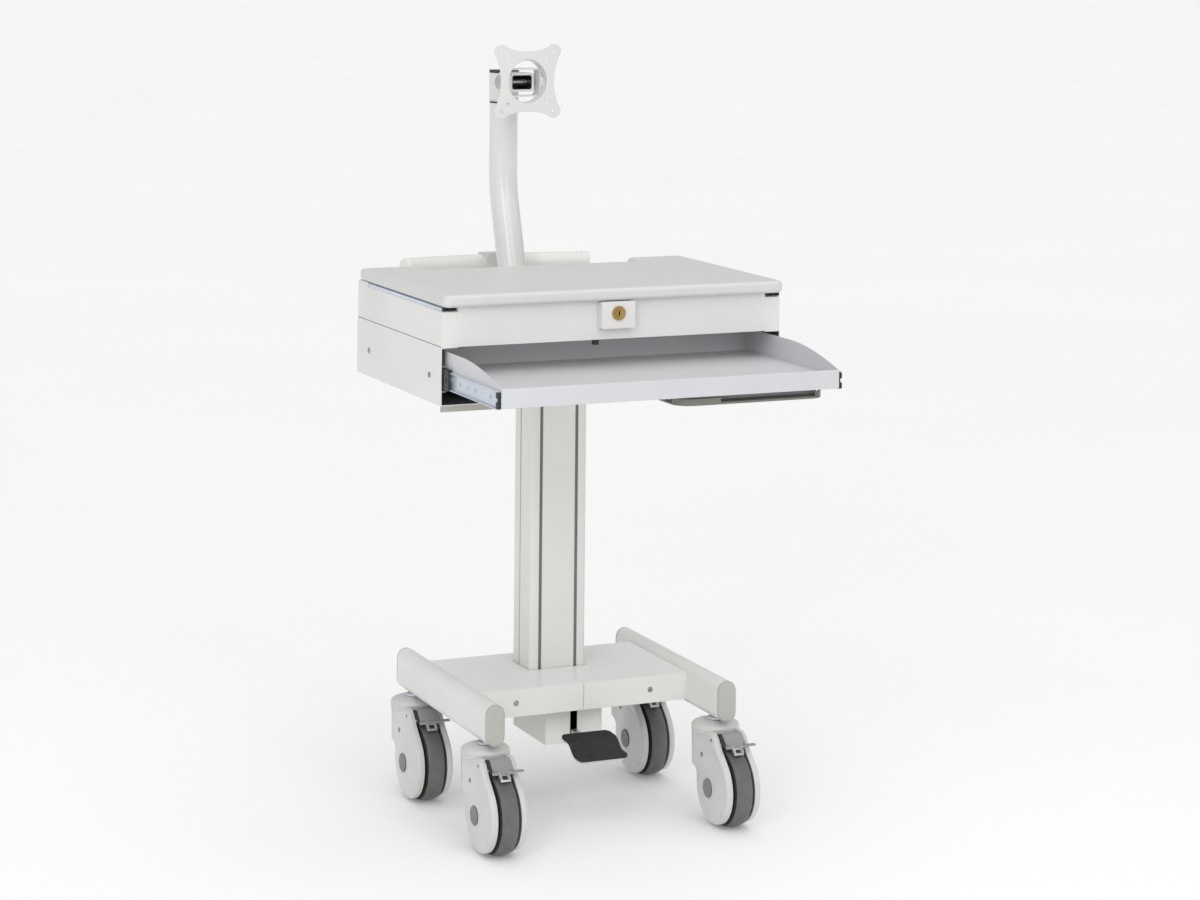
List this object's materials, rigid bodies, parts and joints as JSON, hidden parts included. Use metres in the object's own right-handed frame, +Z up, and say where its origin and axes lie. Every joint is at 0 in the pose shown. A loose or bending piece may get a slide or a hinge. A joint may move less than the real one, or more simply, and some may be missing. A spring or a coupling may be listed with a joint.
{
  "type": "medication cart",
  "caption": "Mobile cart with sliding worktop over a lockable compartment, keyboard drawer, foot-released height column, braked casters and a tilting monitor mount on a bent post.",
  "frame": {"origin": "on the floor, at the centre of the cart's outline (its bounding box) in the rest pose, with the keyboard drawer out", "axes": "+Z up; the user stands on the -Y side, where the keyboard drawer opens; +X to the user's right"},
  "size_m": [0.5812, 0.752, 1.2151],
  "materials": {
    "paint": "satin powder coat",
    "post_paint": "gloss",
    "tray_paint": "satin powder coat",
    "column_alu": "satin",
    "worktop": "fine textured laminate",
    "cap_plastic": "satin",
    "dark_plastic": "matte",
    "grey_plastic": "satin",
    "white_plastic": "gloss",
    "zinc": "zinc plated",
    "frame_steel": "matte",
    "brass": "satin",
    "tyre_rubber": "matte",
    "pad_rubber": "matte"
  },
  "bodies": {
    "base": {"base_cover": "paint", "base_frame": "frame_steel", "cover_screws": "zinc", "legs": "paint", "leg_end_caps": "cap_plastic", "caster_stems": "zinc", "column_outer": "column_alu", "column_guides": "dark_plastic", "gas_rod": "zinc", "pedal_housing": "paint", "pedal_pivot_pin": "zinc"},
    "pedal": {"pedal_lever": "frame_steel", "pedal_pad": "pad_rubber"},
    "pin": {"release_pin": "zinc"},
    "lift": {"column_inner": "column_alu", "gas_cylinder": "frame_steel", "lower_housing": "paint", "upper_housing": "paint", "housing_screws": "zinc", "tray_rails_fixed": "zinc", "worktop_rails_fixed": "zinc", "drawer_catch": "dark_plastic", "lock_housing": "paint", "lock_barrel": "brass", "post_bracket": "paint", "monitor_post": "post_paint", "handle_bracket": "cap_plastic", "push_handle": "white_plastic"},
    "cages": {"rail_ball_cages": "dark_plastic"},
    "drawer": {"keyboard_tray": "tray_paint", "tray_rails_moving": "zinc"},
    "mouse": {"mouse_tray": "cap_plastic"},
    "top": {"worktop": "worktop", "worktop_rails_moving": "zinc"},
    "lock": {"lock_plug": "brass"},
    "head_pan": {"head_block": "post_paint", "head_trim": "dark_plastic"},
    "head_tilt": {"tilt_frame": "post_paint", "tilt_bolt": "zinc"},
    "plate": {"vesa_plate": "post_paint"},
    "caster_fl": {"fork_fl": "white_plastic", "axle_fl": "grey_plastic"},
    "wheel_fl": {"tyre_fl": "tyre_rubber", "wheel_core_fl": "grey_plastic"},
    "brake_fl": {"brake_pedal_fl": "grey_plastic"},
    "caster_fr": {"fork_fr": "white_plastic", "axle_fr": "grey_plastic"},
    "wheel_fr": {"tyre_fr": "tyre_rubber", "wheel_core_fr": "grey_plastic"},
    "brake_fr": {"brake_pedal_fr": "grey_plastic"},
    "caster_rl": {"fork_rl": "white_plastic", "axle_rl": "grey_plastic"},
    "wheel_rl": {"tyre_rl": "tyre_rubber", "wheel_core_rl": "grey_plastic"},
    "brake_rl": {"brake_pedal_rl": "grey_plastic"},
    "caster_rr": {"fork_rr": "white_plastic", "axle_rr": "grey_plastic"},
    "wheel_rr": {"tyre_rr": "tyre_rubber", "wheel_core_rr": "grey_plastic"},
    "brake_rr": {"brake_pedal_rr": "grey_plastic"}
  },
  "joints": [
    {"name": "column_lift", "type": "slide", "parent": "base", "child": "lift", "axis": [0, 0, 1], "range_m": [0, 0.3]},
    {"name": "foot_pedal", "type": "hinge", "parent": "base", "child": "pedal", "pos_m": [0, 0.06045, 0.152], "axis": [1, 0, 0], "range_deg": [0, 6]},
    {"name": "release_pin", "type": "slide", "parent": "base", "child": "pin", "axis": [0, 0, 1], "range_m": [0, 0.0045]},
    {"name": "keyboard_slide", "type": "slide", "parent": "lift", "child": "drawer", "axis": [0, -1, 0], "range_m": [-0.218, 0.03]},
    {"name": "ball_cages", "type": "slide", "parent": "lift", "child": "cages", "axis": [0, -1, 0], "range_m": [-0.109, 0.015]},
    {"name": "mouse_slide", "type": "slide", "parent": "drawer", "child": "mouse", "axis": [1, 0, 0], "range_m": [0, 0.17]},
    {"name": "worktop_slide", "type": "slide", "parent": "lift", "child": "top", "axis": [0, -1, 0], "range_m": [0, 0.25]},
    {"name": "lock_turn", "type": "hinge", "parent": "lift", "child": "lock", "pos_m": [0, -0.15455, 0.815], "axis": [0, 1, 0], "range_deg": [-90, 0]},
    {"name": "monitor_pan", "type": "hinge", "parent": "lift", "child": "head_pan", "pos_m": [0, 0.31345, 1.14], "axis": [0, 0, 1], "range_deg": [-82.4, 67.6]},
    {"name": "monitor_tilt", "type": "hinge", "parent": "head_pan", "child": "head_tilt", "pos_m": [0.00541, 0.2718, 1.1505], "axis": [0.9917, 0.1288, 0], "range_deg": [-15, 15]},
    {"name": "monitor_rotate", "type": "hinge", "parent": "head_tilt", "child": "plate", "pos_m": [0.01056, 0.23213, 1.153], "axis": [0.1288, -0.9917, 0], "range_deg": [-90, 90]},
    {"name": "caster_swivel_fl", "type": "hinge", "parent": "base", "child": "caster_fl", "pos_m": [-0.197, -0.12205, 0.14], "axis": [0, 0, 1], "continuous": true},
    {"name": "caster_roll_fl", "type": "hinge", "parent": "caster_fl", "child": "wheel_fl", "pos_m": [-0.197, -0.17005, 0.0625], "axis": [1, 0, 0], "continuous": true},
    {"name": "caster_brake_fl", "type": "hinge", "parent": "caster_fl", "child": "brake_fl", "pos_m": [-0.197, -0.16805, 0.136], "axis": [1, 0, 0], "range_deg": [0, 5]},
    {"name": "caster_swivel_fr", "type": "hinge", "parent": "base", "child": "caster_fr", "pos_m": [0.197, -0.12205, 0.14], "axis": [0, 0, 1], "continuous": true},
    {"name": "caster_roll_fr", "type": "hinge", "parent": "caster_fr", "child": "wheel_fr", "pos_m": [0.197, -0.17005, 0.0625], "axis": [1, 0, 0], "continuous": true},
    {"name": "caster_brake_fr", "type": "hinge", "parent": "caster_fr", "child": "brake_fr", "pos_m": [0.197, -0.16805, 0.136], "axis": [1, 0, 0], "range_deg": [0, 5]},
    {"name": "caster_swivel_rl", "type": "hinge", "parent": "base", "child": "caster_rl", "pos_m": [-0.197, 0.19295, 0.14], "axis": [0, 0, 1], "continuous": true},
    {"name": "caster_roll_rl", "type": "hinge", "parent": "caster_rl", "child": "wheel_rl", "pos_m": [-0.197, 0.14495, 0.0625], "axis": [1, 0, 0], "continuous": true},
    {"name": "caster_brake_rl", "type": "hinge", "parent": "caster_rl", "child": "brake_rl", "pos_m": [-0.197, 0.14695, 0.136], "axis": [1, 0, 0], "range_deg": [0, 5]},
    {"name": "caster_swivel_rr", "type": "hinge", "parent": "base", "child": "caster_rr", "pos_m": [0.197, 0.19295, 0.14], "axis": [0, 0, 1], "continuous": true},
    {"name": "caster_roll_rr", "type": "hinge", "parent": "caster_rr", "child": "wheel_rr", "pos_m": [0.197, 0.14495, 0.0625], "axis": [1, 0, 0], "continuous": true},
    {"name": "caster_brake_rr", "type": "hinge", "parent": "caster_rr", "child": "brake_rr", "pos_m": [0.197, 0.14695, 0.136], "axis": [1, 0, 0], "range_deg": [0, 5]}
  ],
  "couplings": [
    {"joint": "release_pin", "follows": "foot_pedal", "m_per_rad": 0.0345},
    {"joint": "ball_cages", "follows": "keyboard_slide", "ratio": 0.5}
  ]
}
